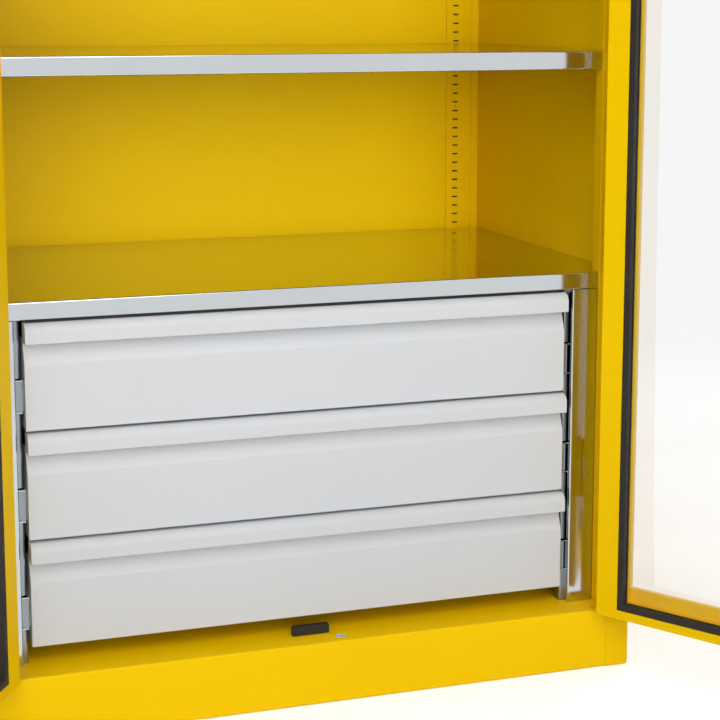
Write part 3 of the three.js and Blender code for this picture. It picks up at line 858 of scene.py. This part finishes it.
def railEndPlate():  # closes a runner's end and slides out with its drawer
    railLow, railHigh = spanOf("runner_middle_1_right")
    low = (railEnd["inner"], railEnd["front"], railLow[2] - railEnd["over"])
    high = (railEnd["outer"], railEnd["rear"], railHigh[2] + railEnd["over"])
    piece = block("railEnd1Right", low, high, railEnd["soft"])
    editOnly(piece, "FACE", lambda face: face.normal.y < -railEnd["facing"])
    bpy.ops.mesh.inset(thickness=railEnd["rim"] * mm, depth=-railEnd["dish"] * mm)
    deselect()
    return shaded(piece)


firstEnd = railEndPlate()
for number in drawer["numbers"]:
    right = forDrawer(number, firstEnd, "railEnd%dRight")
    left = mirroredCopy(right, "railEnd%dLeft" % number)
    for piece in (right, left):
        settle(piece, "runner_steel", "drawer_%d" % number)

firstFront = drawerFront()
for number in drawer["numbers"]:
    node = "drawer_front_%d" % number
    settle(forDrawer(number, firstFront, "drawerFront%d"), "grey_paint", bodyOf(node), node)
print("drawer fronts folded")

door = {
    "edge": 444.2,
    "free": 1.5,
    "bottom": spanOf("door_right")[0][2],
    "top": spanOf("door_right")[1][2],
    "inner": -272.7,
    "hingeStile": 44.6,
    "lockStile": 64,
    "rail": 23.3,
    "swing": 121,  # degrees open in the frame, while the pieces are drawn shut
    "hinge": (446.1, -304.5),
}


def openedDoor(piece, side=1):  # swings a piece that was drawn shut
    x, y = door["hinge"]
    axis = Matrix.Translation(Vector((side * x, y, 0)) * mm)
    swing = Matrix.Rotation(math.radians(side * door["swing"]), 4, "Z")
    pick(piece)
    piece.matrix_world = axis @ swing @ axis.inverted()
    bpy.ops.object.transform_apply()
    return piece


def doorWindow(extra):  # the window's rectangle, grown on every side
    left = door["free"] + door["lockStile"] - extra
    right = door["edge"] - door["hingeStile"] + extra
    return left, right, door["bottom"] + door["rail"] - extra, door["top"] - door["rail"] + extra


seal = {"face": 9.7, "depth": 13.5, "lip": 1.6, "play": 0.3}
pane = {"grip": 4, "thickness": 3, "back": 8.7, "soft": 0.3}


def windowSeal():
    face, play = seal["face"], seal["play"]
    front = door["inner"] - seal["depth"]
    slotFront = door["inner"] - pane["back"] - pane["thickness"] - play
    slotBack = door["inner"] - pane["back"] + play
    slotEnd = face - pane["grip"] - play
    profile = [
        (0, front), (face, front), (face, slotFront), (slotEnd, slotFront), (slotEnd, slotBack),
        (face, slotBack), (face, door["inner"]), (0, door["inner"]),
    ]
    piece = windowRing("windowSealRight", *doorWindow(face), profile)
    return shaded(bevelled(piece, seal["lip"], 3, 60), 60)


def windowPane():
    left, right, bottom, top = doorWindow(pane["grip"])
    back = door["inner"] - pane["back"]
    low, high = (left, back - pane["thickness"], bottom), (right, back, top)
    return block("windowRight", low, high, pane["soft"], 1)


sealRight, paneRight = windowSeal(), windowPane()
for piece, slot, node in [
    (sealRight, "black_rubber", "window_seal"), (paneRight, "clear_acrylic", "window"),
]:
    left = mirroredCopy(piece, nameFor(node + "_left"))
    settle(openedDoor(left, -1), slot, bodyOf(node + "_left"), node + "_left")
    settle(openedDoor(piece), slot, bodyOf(node + "_right"), node + "_right")
print("windows glazed")

glideProfile = [  # radius and height
    (0, 0), (7.6, 0), (8.6, 0.5), (9, 1.3), (8.8, 2), (4.9, 2.2), (4.5, 2.7), (4.5, 23.4), (3.9, 24), (0, 24),
]
for place in ("front", "rear"):
    leftNode, rightNode = ["levelling_glide_%s_%s" % (place, side) for side in ("left", "right")]
    x, y = middleOf(rightNode)[:2]
    right = turnedPiece(nameFor(rightNode), glideProfile, (x, y, 0))
    left = mirroredCopy(right, nameFor(leftNode))
    settle(left, "black_plastic", "root", leftNode)
    settle(right, "black_plastic", "root", rightNode)

rodBush = {
    "middle": (39.2, -279.4, 90.4),
    "inner": 5.5,
    "outer": 7.1,
    "collar": 7.9,
    "deep": 4,
    "lift": 0.05,
    "rise": 0.4,
    "round": 0.2,
    "depthShare": 0.8,  # of the width
}


def floorBush():  # the oval bush in the floor's hole for the lock rod
    inner, outer, collar = rodBush["inner"], rodBush["outer"], rodBush["collar"]
    deep, lift, rise, rounded = rodBush["deep"], rodBush["lift"], rodBush["rise"], rodBush["round"]
    profile = [
        (inner, -deep), (outer, -deep), (outer, lift), (collar, lift), (collar - rounded, rise),
        (inner + rounded, rise), (inner, rise - rounded), (inner, -deep),
    ]
    piece = turnedPiece("rodBush", profile, rodBush["middle"])
    edit(piece)
    middle = Vector(rodBush["middle"]) * mm
    bpy.ops.transform.resize(value=(1, rodBush["depthShare"], 1), center_override=middle)
    deselect()
    return settle(shaded(piece, 35), "grey_paint", "root")


floorBush()

pin = {
    "radius": 3.2,
    "rise": 1.6,
    "domeShares": [(0, 1), (0.5, 0.87), (0.87, 0.5), (1, 0), (1, -1), (0, -1)],  # of radius and rise
}


def pinHead(name, side, z, way):  # the rounded end of a hinge pin
    x, y = door["hinge"]
    profile = [(u * pin["radius"], way * v * pin["rise"]) for u, v in pin["domeShares"]]
    return turnedPiece(name, profile, (side * x, y, z), steps=24)


leaves = [spanOf("hinge_post_leaf_%s_right" % place) for place in ("lower", "upper")]
for side, sideName in ((-1, "Left"), (1, "Right")):
    for number, (low, high) in enumerate(leaves, 1):
        for z, way, wayName in ((low[2], -1, "Lower"), (high[2], 1, "Upper")):
            name = "pinHead%d%s%s" % (number, wayName, sideName)
            settle(pinHead(name, side, z, way), "yellow_paint", "root")
print("glides and pins turned")

softEdges = {  # width of the softened edge, in mm, and its steps
    "yellow_paint": (0.5, 2),
    "grey_paint": (0.3, 2),
    "galvanised": (0.25, 2),
    "runner_steel": (0.2, 2),
    "black_rubber": (1.0, 3),
    "black_plastic": (1.0, 3),
}
replaced = {node for node, cad in frame["nodes"].items() if cad.hide_render}
for node, cad in frame["nodes"].items():
    if node not in replaced:
        softened(node, *softEdges[cad.data.materials[0].name])
print("remaining pieces softened:", len(frame["nodes"]) - len(replaced))

seam = {
    "wide": 0.6,
    "deep": 0.5,
    "long": 13.0,
    "fromHinge": 30.9,
    "fromFree": 52.0,
    "overrun": 1,
    "soft": 0.02,
}


# A fine groove where two folded edges of a door's frame meet
def addSeams(frameName, side):
    piece = bpy.data.objects[frameName]
    back, front = door["inner"] + seam["overrun"], door["inner"] - seam["deep"]
    for x in (door["edge"] - seam["fromHinge"], door["free"] + seam["fromFree"]):
        for z, way in ((door["bottom"], 1), (door["top"], -1)):
            bottom, top = sorted((z - way * seam["overrun"], z + way * seam["long"]))
            low = (side * x - seam["wide"] / 2, front, bottom)
            high = (side * x + seam["wide"] / 2, back, top)
            cutter = openedDoor(block("seamCutter", low, high, seam["soft"], 1), side)
            apply(piece, "BOOLEAN", operation="DIFFERENCE", object=cutter, solver="EXACT")
            bpy.data.objects.remove(cutter)
    shaded(piece)


addSeams("doorRight", 1)
addSeams("doorLeft", -1)
print("door seams cut")

studio = {
    "sky": 0.12,  # what the room gives to matt surfaces
    "floorSize": 80,
    "floorColour": (0.7, 0.7, 0.71),
    "floorGlow": 0.55,
    "floorFade": (1.5, 2.8),  # metres from the cabinet at which the lit floor turns into plain white
}
lamps = {
    "key": {"place": (-0.9, -3.0, 3.0), "aim": (0.1, 0, 0.8), "size": (3.4, 2.6), "power": 79},
    "front": {
        "place": (-0.9, -4.0, 1.2), "aim": (-0.5, 0, 1.0), "size": (4.2, 1.7), "power": 19.6,
        "spread": 56, "mirrored": False,
    },
    "rearLeft": {"place": (-3.0, 3.2, 2.2), "aim": (0, 0, 1), "size": (2.4, 2.0), "power": 84},
    "rearRight": {"place": (3.4, 2.2, 2.2), "aim": (0, 0, 1), "size": (2.4, 2.0), "power": 84},
}
view = {
    "place": (-0.7206, -2.5715, 0.9775),
    "turn": 18.988,  # degrees from straight ahead, to the right
    "tilt": 8.859,  # degrees down
    "focal": 1773.1,  # in pixels
    "picture": 720,  # pixels across
    "film": 36,  # millimetres across
    "shift": -0.11,
    "clip": (0.05, 60),
}


def skyStrength(look):  # plain white where it is seen, and weaker as a light
    return look.seen() * (1 - studio["sky"]) + studio["sky"]


def addFloor():
    deselect()
    bpy.ops.mesh.primitive_plane_add(size=studio["floorSize"])
    floor = bpy.context.object
    floor.name = "studioFloor"
    look = Finish("studioFloor")
    matt = look.node("ShaderNodeBsdfDiffuse", None, {"Color": (*studio["floorColour"], 1)})
    glow = look.node("ShaderNodeEmission", None, {"Strength": look.seen() * studio["floorGlow"]})
    near = look.node("ShaderNodeAddShader", None, {0: matt, 1: glow})
    far = look.node("ShaderNodeEmission", None, {"Strength": skyStrength(look)})
    away = look.node("ShaderNodeVectorMath", {"operation": "LENGTH"}, {0: look.place()}, output=1)
    start, end = studio["floorFade"]
    reach = {"Value": away, "From Min": start, "From Max": end}
    fade = look.node("ShaderNodeMapRange", {"interpolation_type": "SMOOTHSTEP"}, reach)
    both = look.node("ShaderNodeMixShader", None, {0: fade, 1: near, 2: far})
    look.node("ShaderNodeOutputMaterial", None, {"Surface": both})
    floor.data.materials.append(look.material)
    floor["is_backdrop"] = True


def addSky():
    world = bpy.data.worlds.new("studio")
    bpy.context.scene.world = world
    world.use_nodes = True
    look = Finish("studio", world.node_tree)
    sky = look.node("ShaderNodeBackground", None, {"Color": (1, 1, 1, 1), "Strength": skyStrength(look)})
    look.node("ShaderNodeOutputWorld", None, {"Surface": sky})


def addLamp(name, lamp):
    toAim = Vector(lamp["aim"]) - Vector(lamp["place"])
    turn = toAim.to_track_quat("-Z", "Y").to_euler()
    bpy.ops.object.light_add(type="AREA", location=lamp["place"], rotation=turn)
    made = bpy.context.object
    made.name = name + "Lamp"
    made.data.shape = "RECTANGLE"
    made.data.size, made.data.size_y = lamp["size"]
    made.data.energy = lamp["power"]
    made.data.spread = math.radians(lamp.get("spread", 180))
    made.visible_camera = False
    made.visible_glossy = lamp.get("mirrored", True)
    made.visible_transmission = False


def addCamera():
    bpy.ops.object.camera_add(location=view["place"])
    camera = bpy.context.object
    camera.name = "photoCamera"
    camera.rotation_euler = (math.radians(90 - view["tilt"]), 0, -math.radians(view["turn"]))
    camera.data.sensor_width = view["film"]
    camera.data.lens = view["focal"] * view["film"] / view["picture"]
    camera.data.shift_y = view["shift"]
    camera.data.clip_start, camera.data.clip_end = view["clip"]
    bpy.context.scene.camera = camera


addFloor()
addSky()
for name, lamp in lamps.items():
    addLamp(name, lamp)
addCamera()
bpy.context.scene.view_settings.view_transform = "Standard"
print("studio ready")

low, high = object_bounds()
